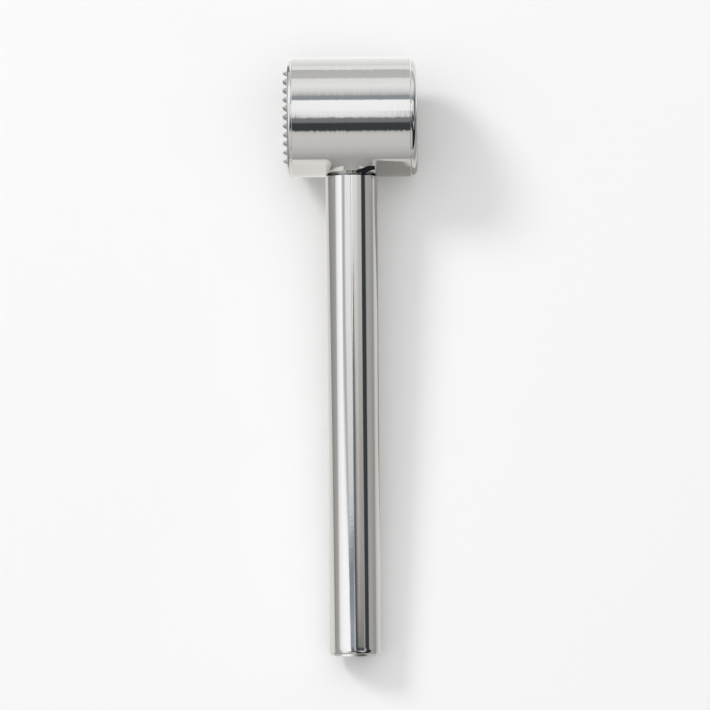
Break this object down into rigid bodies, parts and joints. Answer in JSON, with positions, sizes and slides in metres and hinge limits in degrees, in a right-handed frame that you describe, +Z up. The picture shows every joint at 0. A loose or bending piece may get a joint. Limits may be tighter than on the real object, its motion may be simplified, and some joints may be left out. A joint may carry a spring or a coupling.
{
  "type": "meat tenderizer",
  "caption": "Drum-headed steel mallet for pounding meat, with one smooth and one toothed striking disc, on a straight round tube handle.",
  "frame": {"origin": "on the surface that the tool lies on, under the middle of its bounding box", "axes": "+Z up, +X along the drum's axis towards the smooth disc, +Y from the handle towards the head"},
  "size_m": [0.0582, 0.2602, 0.052],
  "materials": {
    "barrel_steel": "mirror polished, with fine turned lines",
    "disc_steel": "mirror polished",
    "handle_steel": "mirror polished, slightly wavy along its length",
    "core_steel": "as turned",
    "stud_steel": "plain bright",
    "seal_rubber": "matt"
  },
  "bodies": {
    "root": {"head_barrel": "barrel_steel", "head_core": "core_steel", "smooth_disc": "disc_steel", "smooth_disc_seal": "seal_rubber", "smooth_disc_stud": "stud_steel", "toothed_disc": "disc_steel", "toothed_disc_seal": "seal_rubber", "toothed_disc_stud": "stud_steel", "handle_stud": "stud_steel", "neck_seal": "seal_rubber", "handle_top_plug": "stud_steel", "handle_tube": "handle_steel", "handle_end_cap": "handle_steel"}
  },
  "joints": []
}
